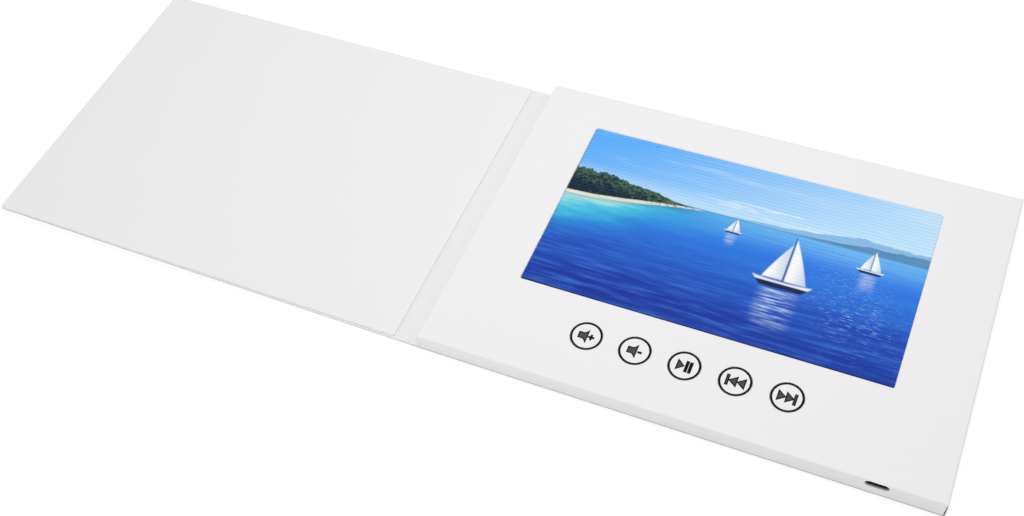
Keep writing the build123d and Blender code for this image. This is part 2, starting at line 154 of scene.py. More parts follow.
def mix(factor, a, b):
    """Colour a where factor is 0 and colour b where it is 1."""
    tree = next(item.tree for item in (factor, a, b) if isinstance(item, Value))
    node = tree.nodes.new("ShaderNodeMix")
    node.data_type = "RGBA"
    feed(tree, node.inputs["Factor"], factor)
    feed(tree, node.inputs[MIX_COLOUR_A], a)
    feed(tree, node.inputs[MIX_COLOUR_B], b)
    return Value(tree, node.outputs[MIX_COLOUR_OUT])


def position(tree):
    """The piece's own coordinates, which are the frame's at rest, as three numbers in metres."""
    split = tree.nodes.new("ShaderNodeSeparateXYZ")
    tree.links.new(tree.nodes.new("ShaderNodeTexCoord").outputs["Object"], split.inputs[0])
    return [Value(tree, output) for output in split.outputs]


def vector(tree, x, y, z):
    """Three numbers joined to one vector."""
    node = tree.nodes.new("ShaderNodeCombineXYZ")
    for slot, value in zip(node.inputs, (x, y, z)):
        feed(tree, slot, value)
    return Value(tree, node.outputs[0])


def grain(tree, where, scale, detail=2.0, rough=0.5):
    """Noise from 0 to 1 on the given coordinates."""
    node = tree.nodes.new("ShaderNodeTexNoise")
    feed(tree, node.inputs["Vector"], where)
    node.inputs["Scale"].default_value = scale
    node.inputs["Detail"].default_value = detail
    node.inputs["Roughness"].default_value = rough
    return Value(tree, node.outputs[0])


def cells(tree, where, scale):
    """Distance to the nearest of many scattered points, which reads as round cells."""
    node = tree.nodes.new("ShaderNodeTexVoronoi")
    feed(tree, node.inputs["Vector"], where)
    node.inputs["Scale"].default_value = scale
    return Value(tree, node.outputs["Distance"])


def bump(tree, height, depth, strength=1.0, under=None):
    """A normal bent by a height from 0 to 1 that stands for depth in metres."""
    node = tree.nodes.new("ShaderNodeBump")
    node.inputs["Distance"].default_value = depth
    node.inputs["Strength"].default_value = strength
    feed(tree, node.inputs["Height"], height)
    if under is not None:
        feed(tree, node.inputs["Normal"], under)
    return Value(tree, node.outputs["Normal"])


def start_material(name):
    """A new material, its node tree and its shader."""
    material = bpy.data.materials.new(name)
    material.use_nodes = True
    return material, material.node_tree, material.node_tree.nodes["Principled BSDF"]


def set_shader(tree, shader, **values):
    """Fill a shader's inputs by name, with _ for a space."""
    for name, value in values.items():
        feed(tree, shader.inputs[name.replace("_", " ")], value)


# ------------------------------------------------------------------ materials
def card(name, colour, dark, roughness=0.6):
    """Coated white board: faint fibres and mottling in colour, gloss and height."""
    material, tree, shader = start_material(name)
    where = vector(tree, *position(tree))
    mottle = grain(tree, where, 60, 3)
    fibre = grain(tree, where, 1400, 4, 0.65)
    tint = mix(mottle * 0.4 + fibre * 0.6, dark, colour)
    set_shader(tree, shader, Base_Color=tint, Roughness=fibre * 0.12 + (roughness - 0.06))
    shader.inputs["Specular IOR Level"].default_value = 0.35
    shader.inputs["Sheen Weight"].default_value = 0.03
    rough = bump(tree, fibre, 0.012 * MM, 0.5)
    set_shader(tree, shader, Normal=bump(tree, mottle, 0.05 * MM, 0.5, rough))
    return material


def cut_board(name, colour, dark):
    """The cut edge of card: thin plies and loose fibres."""
    material, tree, shader = start_material(name)
    x, y, z = position(tree)
    plies = grain(tree, vector(tree, x * 0.4, y * 0.4, z * 12), 900, 3, 0.6)
    set_shader(tree, shader, Base_Color=mix(plies, dark, colour), Roughness=0.85)
    set_shader(tree, shader, Normal=bump(tree, plies, 0.03 * MM, 0.8))
    shader.inputs["Specular IOR Level"].default_value = 0.15
    return material


def plain(name, colour, dark, scale, roughness, metallic=0.0, stretch=(1, 1, 1), depth=0.01 * MM, **sockets):
    """A moulded, printed or rolled finish: noise in colour, gloss and height. A small stretch draws it out."""
    material, tree, shader = start_material(name)
    where = vector(tree, *[axis * share for axis, share in zip(position(tree), stretch)])
    spots = grain(tree, where, scale, 4, 0.6)
    set_shader(tree, shader, Base_Color=mix(spots, dark, colour), Roughness=spots * 0.2 + (roughness - 0.1))
    set_shader(tree, shader, Normal=bump(tree, spots, depth, 0.5))
    shader.inputs["Metallic"].default_value = metallic
    for socket, value in sockets.items():
        shader.inputs[socket.replace("_", " ")].default_value = value
    return material


def stripes(along, pitch, share):
    """1 on lines of the given pitch that cover a share of the surface."""
    wave = (along * (2 * pi / pitch)).math("SINE")
    edge = cos(pi * share)
    return smooth(wave, edge - 0.1, edge + 0.1)


def flex_film():
    """Amber film with copper tracks."""
    material, tree, shader = start_material("flex_film")
    x, y, z = position(tree)
    tracks = stripes(x, 0.8 * MM, 0.5)
    haze = grain(tree, vector(tree, x, y, z), 700, 3)
    film = mix(haze, srgb(176, 104, 30), srgb(205, 132, 48))
    set_shader(tree, shader, Base_Color=mix(tracks, film, srgb(150, 78, 26)), Roughness=haze * 0.15 + 0.25)
    set_shader(tree, shader, Normal=bump(tree, tracks, 0.02 * MM))
    return material


def circuit_board():
    """Green solder mask over tracks that run in blocks along and across."""
    material, tree, shader = start_material("circuit_board")
    x, y, z = position(tree)
    along = stripes(x, 1.3 * MM, 0.4)
    across = stripes(y, 1.1 * MM, 0.4)
    blocks = grain(tree, vector(tree, x, y, z), 130, 0)
    tracks = across + smooth(blocks, 0.48, 0.5) * (along - across)
    haze = grain(tree, vector(tree, x, y, z), 900, 3)
    mask = mix(haze, srgb(10, 84, 42), srgb(18, 104, 54))
    set_shader(tree, shader, Base_Color=mix(tracks, mask, srgb(44, 138, 72)), Roughness=haze * 0.15 + 0.25)
    set_shader(tree, shader, Normal=bump(tree, tracks, 0.035 * MM))
    shader.inputs["Coat Weight"].default_value = 0.3
    return material


def light_guide():
    """Milky acrylic with a printed grid of dots."""
    material, tree, shader = start_material("light_guide")
    x, y, z = position(tree)
    dots = stripes(x, 1.2 * MM, 0.5) * stripes(y, 1.2 * MM, 0.5)
    haze = grain(tree, vector(tree, x, y, z), 300, 2)
    body = mix(haze, srgb(226, 232, 236), srgb(240, 244, 247))
    set_shader(tree, shader, Base_Color=mix(dots, body, srgb(252, 253, 254)), Roughness=dots * 0.3 + 0.15)
    shader.inputs["Subsurface Weight"].default_value = 0.2
    shader.inputs["Subsurface Scale"].default_value = 0.5 * MM
    return material


def foam():
    """Fine closed-cell filler board."""
    material, tree, shader = start_material("foam")
    where = vector(tree, *position(tree))
    pores = cells(tree, where, 1600)
    clouds = grain(tree, where, 200, 3)
    set_shader(tree, shader, Base_Color=mix(clouds, srgb(214, 214, 211), srgb(232, 232, 229)), Roughness=0.9)
    set_shader(tree, shader, Normal=bump(tree, pores, 0.15 * MM, 0.7))
    return material


def port_steel():
    """The port's drawn shell: steel at its mouth, with painted shade that turns it black further in."""
    lip_end, shade_black_from = 0.12 * MM, 0.5 * MM
    material, tree, shader = start_material("port_steel")
    x, y, z = position(tree)
    drawn = grain(tree, vector(tree, x, y * 0.1, z), 900, 4, 0.6)
    shell_colour = mix(drawn, srgb(122, 122, 126), srgb(166, 166, 170))
    # Painted shade: deeper in the port, the shell's colour fades to black and stops being metal, standing in for
    # the shade of the recess.
    inner = smooth(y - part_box("usb_shell")[0].y, lip_end, shade_black_from)
    set_shader(tree, shader, Base_Color=mix(inner, shell_colour, mix(drawn, srgb(5, 5, 5), srgb(16, 16, 17))))
    set_shader(tree, shader, Metallic=inner * -0.5 + 0.5, Roughness=drawn * 0.2 + 0.4)
    set_shader(tree, shader, Normal=bump(tree, drawn, 0.01 * MM, 0.5))
    shader.inputs["Specular IOR Level"].default_value = 0.1
    return material


# ------------------------------------------------------------------ picture on the screen
# In the picture, u runs over the window from left to right and v from its near edge up, both from 0 to 1.
HORIZON = 0.67           # v of the sea's far edge
SCAN_PITCH = 1.75 * MM   # of the panel's visible rows
# How far the unlit border reaches into the window, and each boat's waterline as (u, v) with its height in v.
BORDER = {"left": 0.2 * MM, "right": 0.2 * MM, "near": 0.85 * MM, "far": -0.1 * MM}
BOATS = [((0.655, 0.365), 0.27), ((0.485, 0.585), 0.085), ((0.86, 0.565), 0.125)]


def inside_lines(*sides):
    """A mask that is 1 where every (value, edge, softness) has its value above its edge."""
    mask = 1.0
    for value, edge, softness in sides:
        mask = smooth(value, edge - softness, edge + softness) * mask
    return mask


def paint_sky(tree, u, v):
    """Blue at the far left, pale over the right, with thin streaks and a low bank of small clouds."""
    over = v - HORIZON
    sky = mix(smooth(u - over * 1.1, -0.35, 0.95), srgb(92, 176, 252), srgb(196, 232, 252))
    sky = mix(smooth(over, 0.13, 0.0) * 0.6, sky, srgb(206, 236, 252))
    streaks = grain(tree, vector(tree, u * 1.6 + v * 0.7, v * 9, 0.3), 1.5, 6, 0.6)
    sky = mix(smooth(streaks, 0.5, 0.76) * smooth(over, 0.1, 0.24) * 0.5, sky, srgb(226, 241, 254))
    puffs = grain(tree, vector(tree, u * 7.0, over * 19, 6.2), 1.2, 6, 0.58)
    bank = smooth(puffs - over * 1.9, 0.36, 0.5) * smooth(u, 0.3, 0.62) * smooth(over, 0.02, 0.07)
    return mix(bank * 0.75, sky, mix(smooth(puffs, 0.42, 0.62), srgb(196, 220, 240), srgb(250, 252, 255)))


def paint_sea(tree, u, v):
    """Azure far out and deep blue close by, with ripples that shrink towards the horizon."""
    below = HORIZON - v
    depth = (below.math("MAXIMUM", 0.0) + 0.035).math("POWER", -1.0)
    ripples = grain(tree, vector(tree, (u - 0.5) * depth * 1.5, depth * 6.0, 0.0), 2.6, 5, 0.62)
    swell = grain(tree, vector(tree, (u - 0.5) * depth * 0.3, depth * 1.0, 4.0), 1.7, 3, 0.5)
    near = smooth(below, 0.0, HORIZON)
    sea = mix(smooth(below, 0.0, 0.17), srgb(112, 190, 244), srgb(44, 122, 226))
    sea = mix(smooth(below, 0.1, 0.5), sea, srgb(26, 60, 172))
    sea = mix(smooth(below, 0.42, 0.68) * 0.7, sea, srgb(18, 42, 142))
    sea = mix(smooth(swell, 0.4, 0.66) * (near * -0.3 + 0.42), sea, srgb(52, 132, 232))
    sea = mix(smooth(ripples, 0.44, 0.76) * (near * 0.3 + 0.2), sea, srgb(70, 140, 232))
    sea = mix(smooth(ripples, 0.5, 0.2) * (near * 0.45 + 0.12), sea, srgb(12, 34, 120))
    lane = smooth((u - 0.79 - below * 0.2).math("ABSOLUTE"), 0.19, 0.01) * smooth(below, 0.66, 0.3)
    sparks = grain(tree, vector(tree, (u - 0.5) * depth * 4.6, depth * 17.0, 7.0), 3.0, 2)
    return mix(smooth(sparks, 0.6, 0.7) * lane * 0.75, sea, srgb(206, 234, 255)), ripples


def paint_ridges(tree, view, u, over):
    """Two hazy ridges that rise towards the right."""
    outline = grain(tree, vector(tree, u * 5.0, 0.0, 11.0), 1.4, 6, 0.56)
    height = smooth(u, 0.4, 0.93) * 0.12 * (outline + 0.1)
    view = mix(inside_lines((over, 0.0, 0.002), (height - over, 0.0, 0.003)), view, srgb(142, 190, 228))
    outline = grain(tree, vector(tree, u * 8.0, 3.0, 5.0), 1.4, 6, 0.6)
    height = smooth(u, 0.6, 1.0) * 0.075 * (outline + 0.15)
    tint = mix(outline, srgb(70, 124, 172), srgb(110, 162, 200))
    return mix(inside_lines((over, -0.004, 0.002), (height - over, 0.0, 0.003)), view, tint)


def paint_headland(tree, view, u, v):
    """A wooded point on the left, its sand and rocks, and the shallow lagoon in front of it."""
    edge = grain(tree, vector(tree, u * 9.0, v * 9.0, 2.0), 1.5, 6, 0.66)
    shore = smooth(u, 0.42, 0.0) * -0.085 + (edge - 0.5) * 0.012 + HORIZON - 0.006
    foot = v - shore
    clumps = grain(tree, vector(tree, u * 14.0, 9.0, 2.0), 1.5, 7, 0.7)
    height = smooth(u, 0.4, 0.03) * 0.19 * (clumps * 0.8 + 0.42)
    lagoon = grain(tree, vector(tree, u * 3.2, v * 8.0, 3.0), 1.6, 5, 0.58)
    reach = foot * -1 + u * 0.34 + (lagoon - 0.5) * 0.22
    wet = smooth(foot, 0.002, -0.004)
    view = mix(smooth(reach, 0.32, 0.14) * smooth(u, 0.62, 0.3) * wet * 0.8, view, srgb(44, 158, 218))
    view = mix(smooth(reach, 0.21, 0.08) * smooth(u, 0.5, 0.2) * wet * 0.85, view, srgb(86, 210, 226))
    view = mix(smooth(reach, 0.12, 0.03) * smooth(u, 0.4, 0.1) * wet * 0.85, view, srgb(190, 238, 226))
    mirror = inside_lines((foot, -0.03, 0.02), (foot * -1, -0.002, 0.004), (u * -1, -0.36, 0.05))
    view = mix(mirror * 0.35, view, srgb(24, 92, 110))
    width = smooth(u, 0.41, 0.2)
    sand = inside_lines((foot + width * 0.014, -0.002, 0.003), (foot * -1 + width * 0.01, -0.003, 0.003))
    sand = sand * smooth(u, 0.4, 0.37)
    view = mix(sand, view, mix(edge, srgb(214, 204, 176), srgb(250, 246, 230)))
    stones = smooth(grain(tree, vector(tree, u * 90, v * 60, 5.0), 1.5, 3), 0.53, 0.6)
    view = mix(stones * sand * smooth(u, 0.16, 0.34) * 0.8, view, srgb(74, 78, 78))
    leaves = grain(tree, vector(tree, u * 75.0, v * 44.0, 1.0), 1.5, 5, 0.72)
    lit = smooth(leaves + (foot - height) * 1.6, 0.34, 0.62)
    woods = mix(lit, srgb(10, 34, 28), mix(edge, srgb(44, 92, 52), srgb(112, 142, 76)))
    return mix(inside_lines((foot, 0.004, 0.004), (height - foot, 0.0, 0.004)), view, woods)


def paint_boat(view, u, v, ripples, place, height):
    """A sloop under sail. a runs to the right and b up from its waterline's middle, in heights of the boat."""
    aspect = (WINDOW_X[1] - WINDOW_X[0]) / (WINDOW_Y[1] - WINDOW_Y[0])
    a = (u - place[0]) * (aspect / height)
    b = (v - place[1]) * (1 / height)
    soft = 0.012 / height ** 0.5
    shine = inside_lines((b, -0.8, 0.25), (b * -1, 0.12, soft), (a.math("ABSOLUTE") * -1, -0.26, 0.16))
    view = mix(shine * smooth(ripples, 0.4, 0.62) * 0.75, view, srgb(206, 228, 248))
    belly = (b - 0.1) * (b * -1 + 1.05) * 0.22
    main = inside_lines((a, 0.025, soft), (b, 0.09, soft), (a * -2.4 + belly - b, -1.05, soft * 2))
    jib = inside_lines((a * -1, 0.015, soft), (b, 0.1, soft), (a * 2.2 + belly - b, -0.9, soft * 2))
    view = mix(main, view, mix(smooth(a - b * 0.12, 0.02, 0.4), srgb(252, 252, 250), srgb(198, 212, 232)))
    view = mix(jib, view, mix(smooth(a, -0.3, 0.0), srgb(255, 255, 255), srgb(212, 222, 238)))
    mast = inside_lines((a, -0.012, 0.008), (a * -1, -0.014, 0.008), (b, 0.0, soft), (b * -1, -1.06, soft))
    view = mix(mast * 0.7, view, srgb(70, 74, 92))
    side = a.math("ABSOLUTE") * -1 + b * 0.9
    deck = inside_lines((b * -1 + a * a * 0.12, -0.055, soft), (b * -1, -0.14, soft))
    hull = inside_lines((b, -0.09, soft), (side, -0.44, soft)) * deck
    return mix(hull, view, mix(smooth(b, 0.0, 0.03), srgb(28, 34, 66), srgb(236, 238, 242)))


def picture(tree):
    """A bay on a clear day, with the panel's rows and the dark border round the lit area."""
    x, y, _ = position(tree)
    u = (x - WINDOW_X[0]) * (1 / (WINDOW_X[1] - WINDOW_X[0]))
    v = (y - WINDOW_Y[0]) * (1 / (WINDOW_Y[1] - WINDOW_Y[0]))
    sea, ripples = paint_sea(tree, u, v)
    view = mix(smooth(v, HORIZON - 0.003, HORIZON + 0.003), sea, paint_sky(tree, u, v))
    view = paint_ridges(tree, view, u, v - HORIZON)
    view = paint_headland(tree, view, u, v)
    for place, height in BOATS:
        view = paint_boat(view, u, v, ripples, place, height)
    rows = (y * (2 * pi / SCAN_PITCH)).math("SINE") * 0.5 + 0.5
    view = mix(rows * (smooth(v, 0.1, 0.8) * 0.1 + 0.03), view, srgb(40, 96, 200))
    edge = 0.05 * MM
    lit = inside_lines(
        (x, WINDOW_X[0] + BORDER["left"], edge),
        (x * -1, BORDER["right"] - WINDOW_X[1], edge),
        (y, WINDOW_Y[0] + BORDER["near"], edge),
        (y * -1, BORDER["far"] - WINDOW_Y[1], edge),
    )
    return mix(lit, srgb(16, 24, 84), view)


def screen():
    """The lit panel: the picture as emitted light, under matt glass."""
    material, tree, shader = start_material("screen")
    view = picture(tree)
    frost = grain(tree, vector(tree, *position(tree)), 2600, 2)
    shader.inputs["Base Color"].default_value = srgb(6, 7, 10)
    shader.inputs["Emission Strength"].default_value = 1.0
    shader.inputs["Specular IOR Level"].default_value = 0.06
    set_shader(tree, shader, Emission_Color=view, Roughness=frost * 0.1 + 0.3)
    set_shader(tree, shader, Normal=bump(tree, frost, 0.002 * MM, 0.3))
    return material


MATERIALS = {
    "card_wrap": card("card_wrap", srgb(238, 238, 238), srgb(235, 235, 235)),
    "card_face": card("card_face", srgb(243, 243, 243), srgb(240, 240, 240)),
    "card_liner": card("card_liner", srgb(242, 242, 242), srgb(239, 239, 239)),
    "card_core": cut_board("card_core", srgb(247, 247, 246), srgb(235, 235, 233)),
    "key_card": card("key_card", srgb(243, 243, 243), srgb(240, 240, 240)),
    "cut_edge": cut_board("cut_edge", srgb(242, 242, 241), srgb(230, 230, 228)),
    # The cut edge round the window and key holes: painted whiter than the face card itself, as a painted highlight
    # on the rim.
    "window_edge_highlight": cut_board("window_edge_highlight", srgb(255, 251, 242), srgb(250, 245, 234)),
    # The wrap's cut edges: the board's grey core, darkened further with painted contact shade, so the sheets'
    # bottom edges read as dark lines.
    "raw_edge_and_shade": cut_board("raw_edge_and_shade", srgb(178, 177, 175), srgb(148, 147, 144)),
    "ink_black": plain("ink_black", srgb(12, 12, 13), srgb(7, 7, 8), 1500, 0.6, Specular_IOR_Level=0.08),
    "ink_grey": plain("ink_grey", srgb(84, 84, 85), srgb(72, 72, 73), 1500, 0.6, Specular_IOR_Level=0.08),
    "foam": foam(),
    "screen": screen(),
    "frame_steel": plain(
        "frame_steel", srgb(206, 208, 211), srgb(178, 181, 186), 500, 0.32, 1.0, stretch=(0.05, 1, 1)),
    "light_guide": light_guide(),
    "tape": plain("tape", srgb(26, 26, 28), srgb(14, 14, 15), 1200, 0.6, stretch=(0.3, 1, 1)),
    "flex_film": flex_film(),
    "circuit_board": circuit_board(),
    "chip_black": plain("chip_black", srgb(40, 40, 43), srgb(26, 26, 28), 2500, 0.55, depth=0.02 * MM),
    "crystal_can": plain("crystal_can", srgb(214, 214, 216), srgb(190, 191, 194), 800, 0.28, 1.0),
    "connector_plastic": plain("connector_plastic", srgb(232, 226, 208), srgb(218, 211, 190), 900, 0.5),
    "port_steel": port_steel(),
    "port_plastic": plain("port_plastic", srgb(14, 14, 15), srgb(5, 5, 6), 1800, 0.6, Specular_IOR_Level=0.1),
    "switch_plastic": plain("switch_plastic", srgb(36, 36, 39), srgb(24, 24, 26), 1500, 0.5),
    "battery_pouch": plain(
        "battery_pouch", srgb(212, 214, 218), srgb(186, 189, 195), 160, 0.35, 0.9, depth=0.3 * MM),
    "lead_black": plain("lead_black", srgb(24, 24, 25), srgb(14, 14, 15), 900, 0.35),
    "lead_red": plain("lead_red", srgb(196, 24, 22), srgb(160, 12, 14), 900, 0.35),
    "magnet": plain("magnet", srgb(188, 189, 192), srgb(160, 161, 165), 1100, 0.25, 1.0),
    "speaker_paper": plain("speaker_paper", srgb(44, 42, 42), srgb(24, 23, 23), 700, 0.8, depth=0.08 * MM),
    "gold": plain("gold", srgb(236, 196, 116), srgb(214, 168, 84), 1500, 0.25, 1.0),
}
OWN_FINISH = {"usb_shell": "port_steel"}    # nodes that don't take their slot's finish


def paint_frame():
    """Every CAD node takes the finish of its slot, or one of its own."""
    for part in frame["record"]["subparts"]:
        finish = OWN_FINISH.get(part["node"], part["material_slot"])
        for slot in frame["nodes"][part["node"]].material_slots:
            slot.material = MATERIALS[finish]


# ------------------------------------------------------------------ card pieces
WELD = 0.0001 * MM           # points closer than this are one
CUT_SNAP = 0.0005 * MM       # a cut this close to a point goes through it
FLAT_ANGLE = radians(0.5)    # faces that meet at less than this are one
ROUND_ANGLE = radians(40)    # edges sharper than this get a small round
SHARP_ANGLE = radians(35)    # edges sharper than this aren't shaded smooth
SEAM_REACH = 0.03 * MM       # points this close to a seam are on it
SHEET_STEP, DISC_STEP, BACK_STEP, BLOCK_STEP = 6 * MM, 3 * MM, 7 * MM, 5 * MM    # of the pieces' grids
SPINE_STEP, CREASE_STEP, WALL_STEP = 1.5 * MM, 0.08 * MM, 1.3 * MM               # and of their finer sides


def ripple(x, y, size, seed):
    """Smooth noise from about -1 to 1 that changes over size metres."""
    return noise.noise(Vector((x / size, y / size, seed))) * 1.6


def share_of(value, low, high):
    """0 at low and 1 at high, held to that range."""
    return max(0.0, min(1.0, (value - low) / (high - low)))


def copy_sheet(node, step_x, step_y, step_z=None):
    """The CAD sheet's mesh as a new bmesh, rid of its diagonals and cut into a grid so that it can bend."""
    bm = bmesh.new()
    bm.from_mesh(frame["nodes"][node].data)
    bmesh.ops.remove_doubles(bm, verts=bm.verts, dist=WELD)
    bmesh.ops.dissolve_limit(bm, angle_limit=FLAT_ANGLE, verts=bm.verts, edges=bm.edges)
    low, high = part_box(node)
    for axis, step in enumerate((step_x, step_y, step_z)):
        if step is None:
            continue
        count = max(1, round((high[axis] - low[axis]) / step))
        normal = Vector([float(i == axis) for i in range(3)])
        for i in range(1, count):
            level = low[axis] + (high[axis] - low[axis]) * i / count
            bmesh.ops.bisect_plane(
                bm, geom=bm.verts[:] + bm.edges[:] + bm.faces[:], dist=CUT_SNAP,
                plane_co=normal * level, plane_no=normal,
            )
    return bm


def weigh_edges(bm, seam):
    """Weight 1 on each sharp edge, but 0 where the sheet runs on into its neighbour, at x = seam."""
    weight = bm.edges.layers.float.new("bevel_weight_edge")
    for edge in bm.edges:
        on_seam = seam is not None and all(abs(vertex.co.x - seam) < SEAM_REACH for vertex in edge.verts)
        edge[weight] = float(edge.calc_face_angle(0.0) > ROUND_ANGLE and not on_seam)


def finish_mesh(name, bm, materials, edge_width=0.0, seam=None):
    """A mesh object from a bmesh, smooth but for its sharp edges, with a small round on those."""
    mesh = bpy.data.meshes.new(name)
    bm.normal_update()
    if edge_width:
        weigh_edges(bm, seam)
    bm.to_mesh(mesh)
    bm.free()
    for material in materials:
        mesh.materials.append(MATERIALS[material])
    mesh.shade_smooth()
    mesh.set_sharp_from_angle(angle=SHARP_ANGLE)
    piece = bpy.data.objects.new(name, mesh)
    bpy.context.scene.collection.objects.link(piece)
    if edge_width:
        soft = piece.modifiers.new("round_edges", "BEVEL")
        soft.width = edge_width
        soft.segments = 2
        soft.limit_method = "WEIGHT"
        soft.harden_normals = True
        soft.use_clamp_overlap = True
    return piece


def mark_cut_faces(bm, is_cut):
    """Give the second material to the faces where the board's cut edge shows."""
    bm.normal_update()
    for face in bm.faces:
        face.material_index = 1 if is_cut(face) else 0


def is_upright(face):
    return abs(face.normal.z) < 0.5


def faces_sideways(face):
    return abs(face.normal.y) > 0.5


COVER_WAVE, COVER_WAVE_SIZE, COVER_WAVE_SEED = 0.1 * MM, 90 * MM, 3.1
COVER_SAG = 0.35 * MM      # of the cover's free end
COVER_HOLD = 6             # the crease holds the cover flat for a sixth of its length
BOARD_REACH = 0.3 * MM     # by which the cover's board is widened
BOARD_MARGIN = 1.5 * MM    # its points within this of a side move
CUT_FINISH = {"card_wrap": "raw_edge_and_shade", "card_core": "card_core", "card_liner": "cut_edge"}


def cover_wave(x, y):
    """Height by which the big cover sheets leave their plane: none at the crease, more at the free end."""
    reach = (COVER_HIGH.x - x) / (COVER_HIGH.x - COVER_LOW.x)
    hold = min(1.0, max(0.0, reach * COVER_HOLD))
    return hold * (ripple(x, y, COVER_WAVE_SIZE, COVER_WAVE_SEED) * COVER_WAVE - reach * reach * COVER_SAG)


def widen_board(bm, low, high):
    """Move the cover board's walls outwards on all four sides, close to the sheets' own edges."""
    for vertex in bm.verts:
        for axis in (0, 1):
            if vertex.co[axis] - low[axis] < BOARD_MARGIN:
                vertex.co[axis] -= BOARD_REACH
            elif high[axis] - vertex.co[axis] < BOARD_MARGIN:
                vertex.co[axis] += BOARD_REACH


def make_cover():
    """The cover's sheet, core board, magnet and liner, all bent by one soft wave."""
    for name, node, slot, edge in (
        ("cover_card", "cover_sheet", "card_wrap", 0.09 * MM),
        ("cover_board", "cover_core", "card_core", 0.0),
        ("cover_steel_disc", "cover_magnet", "magnet", 0.0),
        ("liner_card", "cover_liner", "card_liner", 0.05 * MM),
    ):
        step = DISC_STEP if slot == "magnet" else SHEET_STEP
        bm = copy_sheet(node, step, step)
        mark_cut_faces(bm, is_upright)
        if name == "cover_board":
            widen_board(bm, *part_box(node))
        for vertex in bm.verts:
            vertex.co.z += cover_wave(vertex.co.x, vertex.co.y)
        piece = finish_mesh(name, bm, [slot, CUT_FINISH.get(slot, slot)], edge, COVER_HIGH.x)
        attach(piece, "cover")
        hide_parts(node)


def make_spine():
    """The narrow strip between the two creases."""
    bm = copy_sheet("spine_sheet", SPINE_STEP, SHEET_STEP)
    mark_cut_faces(bm, faces_sideways)
    piece = finish_mesh("spine_card", bm, ["card_wrap", "raw_edge_and_shade"])
    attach(piece, "spine")
    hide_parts("spine_sheet")


def make_crease(name, node, joint, groove):
    """A scored strip at a fold, with a shallow groove pressed into its top."""
    axis = Vector(JOINTS[joint]["pos_m"])
    bm = copy_sheet(node, CREASE_STEP, SHEET_STEP)
    mark_cut_faces(bm, faces_sideways)
    upper_half = axis.z - CARD / 2
    for vertex in bm.verts:
        share = (vertex.co.x - axis.x) / CREASE_HALF
        if vertex.co.z > upper_half and abs(share) < 1:
            vertex.co.z -= groove * (0.5 + 0.5 * cos(pi * share))
    piece = finish_mesh(name, bm, ["card_wrap", "raw_edge_and_shade"])
    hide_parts(node)
    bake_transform(piece)


def make_back():
    """The wrap's panel under the block."""
    bm = copy_sheet("back_panel", BACK_STEP, BACK_STEP)
    mark_cut_faces(bm, is_upright)
    piece = finish_mesh("back_card", bm, ["card_wrap", "raw_edge_and_shade"], 0.06 * MM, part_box("back_panel")[0].x)
    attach(piece, "block")
    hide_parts("back_panel")


WALL_BOW, WALL_BOW_SIZE, WALL_BOW_SEED = 0.09 * MM, 35 * MM, 1.3
WALL_DEPTH = 0.6 * MM      # a point this close to a side is in that side's wall
CORNER_HOLD = 4 * MM       # the corners hold the walls straight over this length
FLAP_END = 1.0 * MM        # from the block's side walls to the near wall's ends
END_MARGIN = 0.12 * MM     # a point this close to a wall's end plane is on it
END_DEPTH = 0.65 * MM      # a point this close to the near side is at the wall's end, and not further in
CLOSE_FOOT, CLOSE_TOP = 0.3 * MM, 0.43 * MM    # lean of the near wall's left end; full at a third of its height
LEAN_FOOT, LEAN_TOP = 0.12 * MM, 0.52 * MM     # lean of the near wall's right end
SIDE_LEAN = 0.28 * MM      # lean of the right wall's inner edge beside it
RIM_OUT, RIM_IN = 0.1 * MM, 0.12 * MM          # by which the window's upper edge lies out and its lower edge in
RIM_MARGIN = 1.0 * MM      # a point this close to the window's edge is on its rim
TOP_MARGIN = 1.5 * MM      # faces of the top's cuts lie at least this far from the walls' outsides


def tray_shift(co):
    """How the folded tray departs from flat walls: each bows in a little between its folds and corners."""
    shift = Vector((0, 0, 0))
    bow = sin(pi * share_of(co.z, BLOCK_LOW.z, BLOCK_HIGH.z))
    for axis, other in ((0, 1), (1, 0)):
        for low_side in (True, False):
            gap = co[axis] - BLOCK_LOW[axis] if low_side else BLOCK_HIGH[axis] - co[axis]
            if gap < WALL_DEPTH:
                end_gap = min(co[other] - BLOCK_LOW[other], BLOCK_HIGH[other] - co[other])
                ends = share_of(end_gap, 0.0, CORNER_HOLD)
                wall = axis + low_side * 3.7    # another stretch of the noise for each wall
                push = (0.5 + ripple(co[other], wall, WALL_BOW_SIZE, WALL_BOW_SEED) * 0.5) * WALL_BOW
                shift[axis] += (push if low_side else -push) * bow * ends
    return shift


def at_near_end(co):
    return co.y - BLOCK_LOW.y <= END_DEPTH


def closing(co):
    """The near wall's left end leans over its slit, so that this corner looks shut but for its foot."""
    if abs(co.x - BLOCK_LOW.x - FLAP_END) > END_MARGIN or not at_near_end(co):
        return 0.0
    rise = (co.z - BLOCK_LOW.z) / (BLOCK_HIGH.z - BLOCK_LOW.z)
    return CLOSE_FOOT + (CLOSE_TOP - CLOSE_FOOT) * min(1.0, rise * 3)


def leaning(co):
    """The two walls' ends at the right near corner lean outwards, so that the slit between them slants."""
    slit_top = BLOCK_HIGH.z - CARD
    if co.z > slit_top + END_MARGIN or not at_near_end(co):
        return 0.0
    from_right = BLOCK_HIGH.x - co.x
    rise = (co.z - BLOCK_LOW.z) / (slit_top - BLOCK_LOW.z)
    if abs(from_right - FLAP_END) < END_MARGIN:
        return LEAN_FOOT + (LEAN_TOP - LEAN_FOOT) * rise
    if abs(from_right - CARD) < END_MARGIN:
        return SIDE_LEAN
    return 0.0


